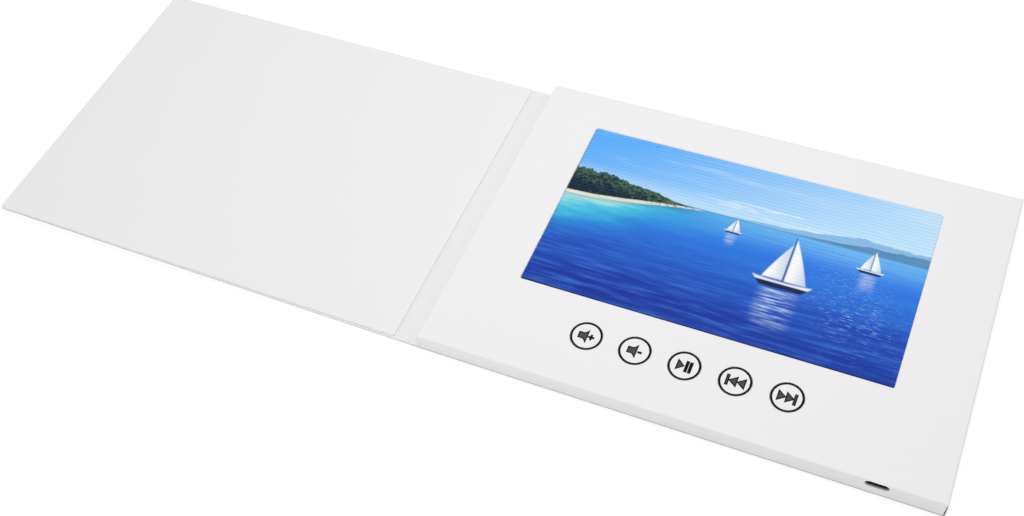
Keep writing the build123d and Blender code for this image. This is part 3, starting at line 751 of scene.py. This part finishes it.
def rim_shift(co):
    """The window's cut slopes: its upper edge lies further out than its lower one."""
    shift = Vector((0, 0, 0))
    window = list(enumerate((WINDOW_X, WINDOW_Y)))
    inside = all(low - RIM_MARGIN < co[axis] < high + RIM_MARGIN for axis, (low, high) in window)
    if not inside or co.z < PANEL_TOP:
        return shift
    depth = (BLOCK_HIGH.z - co.z) / CARD
    out = RIM_OUT - (RIM_OUT + RIM_IN) * depth
    for axis, (low, high) in window:
        if co[axis] < low + RIM_MARGIN:
            shift[axis] -= out
        elif co[axis] > high - RIM_MARGIN:
            shift[axis] += out
    return shift


def is_window_or_key_cut(face):
    """Whether an upright face of the tray lies in its top, well inside its walls."""
    centre = face.calc_center_median()
    from_walls = min(
        centre.x - BLOCK_LOW.x, BLOCK_HIGH.x - centre.x,
        centre.y - BLOCK_LOW.y, BLOCK_HIGH.y - centre.y,
    )
    return is_upright(face) and from_walls > TOP_MARGIN and centre.z > PANEL_TOP


def make_block_card():
    """The folded tray with its window and key holes."""
    bm = copy_sheet("face_tray", BLOCK_STEP, BLOCK_STEP, WALL_STEP)
    mark_cut_faces(bm, is_window_or_key_cut)
    for vertex in bm.verts:
        vertex.co += tray_shift(vertex.co) + rim_shift(vertex.co)
        vertex.co.x += leaning(vertex.co) - closing(vertex.co)
    piece = finish_mesh("block_card", bm, ["card_face", "window_edge_highlight"], 0.05 * MM)
    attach(piece, "block")
    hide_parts("face_tray")


# ------------------------------------------------------------------ printed symbols on the keys
INK = 0.015 * MM          # from the key's surface to the ring's lower and upper side
INK_STEP = 0.1 * INK      # each shape of a symbol lies this much above the one before
GREY_TOP = 1.8 * INK      # from the key's surface to the top of the grey
BLACK_CORNER, GREY_CORNER = 0.12 * MM, 0.06 * MM    # radii of the symbols' corners
RING_INNER, RING_OUTER = 5.6 * MM, 6.5 * MM
INK_SPREAD = 0.2 * MM     # ink beyond a symbol's drawn outline
INK_EDGE = 0.52 * MM      # black outline round the grey of a symbol
SYMBOL_DROP = 0.08 * MM   # symbols sit a little below their rings' centres
ARC_STEPS = 72
STRAIGHT = 1e-6           # sine of the turn below which an outline runs straight on


def polygon_area(points):
    """The area inside an outline, below 0 where it runs clockwise."""
    return sum(a[0] * b[1] - b[0] * a[1] for a, b in zip(points, points[1:] + points[:1])) / 2


def inset(points, width):
    """The outline moved in by width, with mitred corners. The points run anticlockwise."""
    moved = []
    count = len(points)
    for i, (x, y) in enumerate(points):
        before, after = points[i - 1], points[(i + 1) % count]
        a = Vector((x - before[0], y - before[1])).normalized()
        b = Vector((after[0] - x, after[1] - y)).normalized()
        turn = a.x * b.y - a.y * b.x
        if abs(turn) < STRAIGHT:
            moved.append((x - a.y * width, y + a.x * width))
        else:
            back = (b - a) / turn * width
            moved.append((x + back.x, y + back.y))
    return moved


def rounded_outline(points, radius, steps=4):
    """The outline with each corner replaced by a small arc."""
    result = []
    count = len(points)
    for i, point in enumerate(points):
        here = Vector(point)
        before = (Vector(points[i - 1]) - here).normalized()
        after = (Vector(points[(i + 1) % count]) - here).normalized()
        half = before.angle(after) / 2
        reach = min(radius / max(0.2, abs(sin(half) / cos(half))), radius * 2)
        start, end = here + before * reach, here + after * reach
        for step in range(steps + 1):
            t = step / steps
            result.append(tuple(start * (1 - t) ** 2 + here * 2 * t * (1 - t) + end * t * t))
    return result


def plate(bm, points, low, high, centre, material):
    """A thin printed shape with a closed top, bottom and rim."""
    if polygon_area(points) < 0:
        points = points[::-1]
    rings = []
    for level in (low, high):
        rings.append([bm.verts.new((centre[0] + x, centre[1] + y, level)) for x, y in points])
    bottom, top = rings
    faces = [bm.faces.new(top), bm.faces.new(bottom[::-1])]
    for i in range(len(points)):
        j = (i + 1) % len(points)
        faces.append(bm.faces.new((bottom[i], bottom[j], top[j], top[i])))
    for face in faces:
        face.material_index = material


def ring(bm, inner, outer, low, high, centre):
    """A flat ring with a rectangular section."""
    circles = []
    for radius, level in ((inner, low), (outer, low), (outer, high), (inner, high)):
        circles.append([
            bm.verts.new((
                centre[0] + radius * cos(2 * pi * i / ARC_STEPS),
                centre[1] + radius * sin(2 * pi * i / ARC_STEPS),
                level,
            ))
            for i in range(ARC_STEPS)
        ])
    for loop, following in zip(circles, circles[1:] + circles[:1]):
        for i in range(ARC_STEPS):
            j = (i + 1) % ARC_STEPS
            bm.faces.new((loop[i], loop[j], following[j], following[i]))


def bar(x, half_width, half_height, y=0.0):
    """A rectangle about x and y."""
    return [(x - half_width, y - half_height), (x + half_width, y - half_height),
            (x + half_width, y + half_height), (x - half_width, y + half_height)]


def triangle(base, tip, half_height):
    """An arrow head from its base's x to its tip's x."""
    points = [(base, -half_height), (tip, 0.0), (base, half_height)]
    return points if tip > base else points[::-1]


def speaker(left):
    """A loudspeaker seen from the side: its box, and a horn whose sides curve out to two tips."""
    box, waist, tip, flare, steps = 1.36, left + 1.85, left + 3.6, 2.85, 6
    lower = []
    for step in range(steps + 1):
        t = step / steps
        lower.append((waist + (tip - waist) * t, -(box - 0.02 + (flare - box) * t ** 1.6)))
    upper = [(x, -y) for x, y in reversed(lower)]
    return [(left, -box), *lower, *upper, (left, box)]


# Outlines of each key's symbols, in millimetres from its centre. True marks those with a grey inside.
SYMBOLS = {
    "volume_up": [
        (speaker(-3.2), True), (bar(2.03, 1.15, 0.27), False), (bar(2.03, 0.27, 1.15), False)],
    "volume_down": [
        (speaker(-2.95), True), (bar(2.03, 0.7, 0.33, -0.15), False)],
    "play_pause": [
        (triangle(-2.95, -0.1, 2.3), True), (bar(0.9, 0.46, 2.45), False), (bar(2.45, 0.48, 2.4, -0.1), False)],
    "previous": [
        (bar(-3.1, 0.48, 2.35), True), (triangle(0.62, -2.5, 2.25), True), (triangle(3.9, 0.7, 2.25), True)],
    "next": [
        (triangle(-3.65, -0.65, 2.25), True), (triangle(-0.42, 2.6, 2.25), True),
        (bar(3.12, 0.48, 2.35, -0.1), True)],
}


def make_prints():
    """Each key's printed ring and symbol, as thin ink on its disc."""
    for name, shapes in SYMBOLS.items():
        low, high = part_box(f"key_{name}")
        centre = ((low.x + high.x) / 2, (low.y + high.y) / 2)
        top = high.z
        bm = bmesh.new()
        ring(bm, RING_INNER, RING_OUTER, top - INK, top + INK, centre)
        piece = finish_mesh(f"ring_{name}", bm, ["ink_black"])
        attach(piece, f"{name}_key")
        bm = bmesh.new()
        for level, (outline, hollow) in enumerate(shapes):
            points = inset([(x * MM, y * MM - SYMBOL_DROP) for x, y in outline], -INK_SPREAD)
            step = INK_STEP * level
            plate(bm, rounded_outline(points, BLACK_CORNER), top - INK, top + INK + step, centre, 0)
            if hollow:
                fill = inset(points, INK_EDGE)
                plate(bm, rounded_outline(fill, GREY_CORNER), top, top + GREY_TOP + step, centre, 1)
        piece = finish_mesh(f"symbol_{name}", bm, ["ink_black", "ink_grey"])
        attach(piece, f"{name}_key")


# ------------------------------------------------------------------ port contacts
def make_port_contacts():
    """Gold contact strips on both faces of the port's tongue."""
    shell_low, shell_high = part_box("usb_shell")
    tongue_low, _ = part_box("usb_tongue")
    middle = (shell_low.z + shell_high.z) / 2
    centre_x = (shell_low.x + shell_high.x) / 2
    pitch, width, thickness, count = 0.5 * MM, 0.28 * MM, 0.06 * MM, 12
    start, end, half_tongue = tongue_low.y + 0.5 * MM, tongue_low.y + 3.6 * MM, 0.35 * MM
    bm = bmesh.new()
    for side in (-1, 1):
        for i in range(count):
            x = centre_x + (i - (count - 1) / 2) * pitch
            place = Matrix.Translation((x, (start + end) / 2, middle + side * half_tongue))
            size = Matrix.Diagonal((width, end - start, thickness, 1))
            bmesh.ops.create_cube(bm, size=1.0, matrix=place @ size)
    piece = finish_mesh("usb_contacts", bm, ["gold"], 0.015 * MM)
    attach(piece, "block")


# ------------------------------------------------------------------ floor, backdrop and lamps
FLOOR_HALF = 3.0
FLOOR_Z = -0.02 * MM                    # just clear of the part's underside
GLOW_NEAR, GLOW_FAR = 0.62, 0.84        # the floor's own white as the eye sees it, near the object and far out
GLOW_START, GLOW_END = 0.3, 0.9         # radii between which it grows
ROOM = 0.5                              # the world's strength as it lights the object


def seen_directly(tree):
    """1 for camera, mirror and glass rays, which show the white backdrop, and 0 for the rest."""
    path = tree.nodes.new("ShaderNodeLightPath")
    camera, glossy, clear = [
        Value(tree, path.outputs[name])
        for name in ("Is Camera Ray", "Is Glossy Ray", "Is Transmission Ray")
    ]
    return camera.math("MAXIMUM", glossy).math("MAXIMUM", clear)


def make_floor():
    """A plain white table: the eye sees it near white, and it keeps the object's soft shadow.
    It is clear from below and to the under lamp, so that the underside can be looked at."""
    bm = bmesh.new()
    bmesh.ops.create_grid(bm, x_segments=8, y_segments=8, size=FLOOR_HALF)
    bmesh.ops.translate(bm, verts=bm.verts, vec=(0, 0, FLOOR_Z))
    mesh = bpy.data.meshes.new("floor")
    bm.to_mesh(mesh)
    bm.free()
    floor = bpy.data.objects.new("floor", mesh)
    bpy.context.scene.collection.objects.link(floor)
    floor.visible_shadow = False
    material = bpy.data.materials.new("floor")
    material.use_nodes = True
    tree = material.node_tree
    tree.nodes.clear()
    output = tree.nodes.new("ShaderNodeOutputMaterial")
    diffuse = tree.nodes.new("ShaderNodeBsdfDiffuse")
    direct = seen_directly(tree)
    feed(tree, diffuse.inputs["Color"], mix(direct, srgb(243, 243, 243), srgb(188, 188, 188)))
    glow = tree.nodes.new("ShaderNodeEmission")
    glow.inputs["Color"].default_value = (1, 1, 1, 1)
    x, y, _ = position(tree)
    away = smooth(x * x + y * y, GLOW_START ** 2, GLOW_END ** 2)
    feed(tree, glow.inputs["Strength"], direct * (away * (GLOW_FAR - GLOW_NEAR) + GLOW_NEAR))
    total = tree.nodes.new("ShaderNodeAddShader")
    tree.links.new(diffuse.outputs[0], total.inputs[0])
    tree.links.new(glow.outputs[0], total.inputs[1])
    one_sided = tree.nodes.new("ShaderNodeMixShader")
    tree.links.new(tree.nodes.new("ShaderNodeNewGeometry").outputs["Backfacing"], one_sided.inputs[0])
    tree.links.new(total.outputs[0], one_sided.inputs[1])
    tree.links.new(tree.nodes.new("ShaderNodeBsdfTransparent").outputs[0], one_sided.inputs[2])
    tree.links.new(one_sided.outputs[0], output.inputs["Surface"])
    mesh.materials.append(material)


def make_world():
    """A plain white room: dim as it lights the object, and white to the eye."""
    world = bpy.data.worlds.new("studio")
    bpy.context.scene.world = world
    world.use_nodes = True
    tree = world.node_tree
    background = tree.nodes["Background"]
    background.inputs["Color"].default_value = (1, 1, 1, 1)
    feed(tree, background.inputs["Strength"], seen_directly(tree) * (1 - ROOM) + ROOM)
    world.cycles.sampling_method = "NONE"


def make_lamp(name, place, target, size, power):
    """A rectangular soft lamp that points at its target."""
    data = bpy.data.lights.new(name, "AREA")
    data.shape = "RECTANGLE"
    data.size, data.size_y = size
    data.energy = power
    lamp = bpy.data.objects.new(name, data)
    bpy.context.scene.collection.objects.link(lamp)
    lamp.location = place
    lamp.rotation_euler = (Vector(target) - Vector(place)).to_track_quat("-Z", "Y").to_euler()


def make_under_light(strength):
    """Light from straight below, which reaches the undersides and no wall."""
    data = bpy.data.lights.new("under", "SUN")
    data.energy = strength
    data.angle = radians(1)
    lamp = bpy.data.objects.new("under", data)
    bpy.context.scene.collection.objects.link(lamp)
    lamp.rotation_euler = (radians(180), 0, 0)


def make_light():
    """A wide soft box over the brochure, a small lamp from the right that shades the strip by the block,
    a low one for the near walls, and light from below."""
    make_world()
    make_lamp("soft_box", (0.02, 0.09, 0.62), (0.0, 0.03, 0), (0.6, 0.47), 1.87)
    make_lamp("key", (1.0, 0.3, 1.1), (0.0, 0.0, 0), (0.3, 0.3), 1.4)
    make_lamp("fill", (-0.45, -0.78, 0.17), (0.05, -0.07, 0), (0.6, 0.3), 1.7)
    make_under_light(1.1)
    bpy.context.scene.view_settings.view_transform = "Standard"


make_camera()
make_light()
make_floor()
paint_frame()
make_cover()
make_spine()
make_crease("crease_by_block", "crease_block", "spine_fold", 0.04 * MM)
make_crease("crease_by_cover", "crease_cover", "cover_fold", 0.03 * MM)
make_back()
make_block_card()
make_prints()
make_port_contacts()
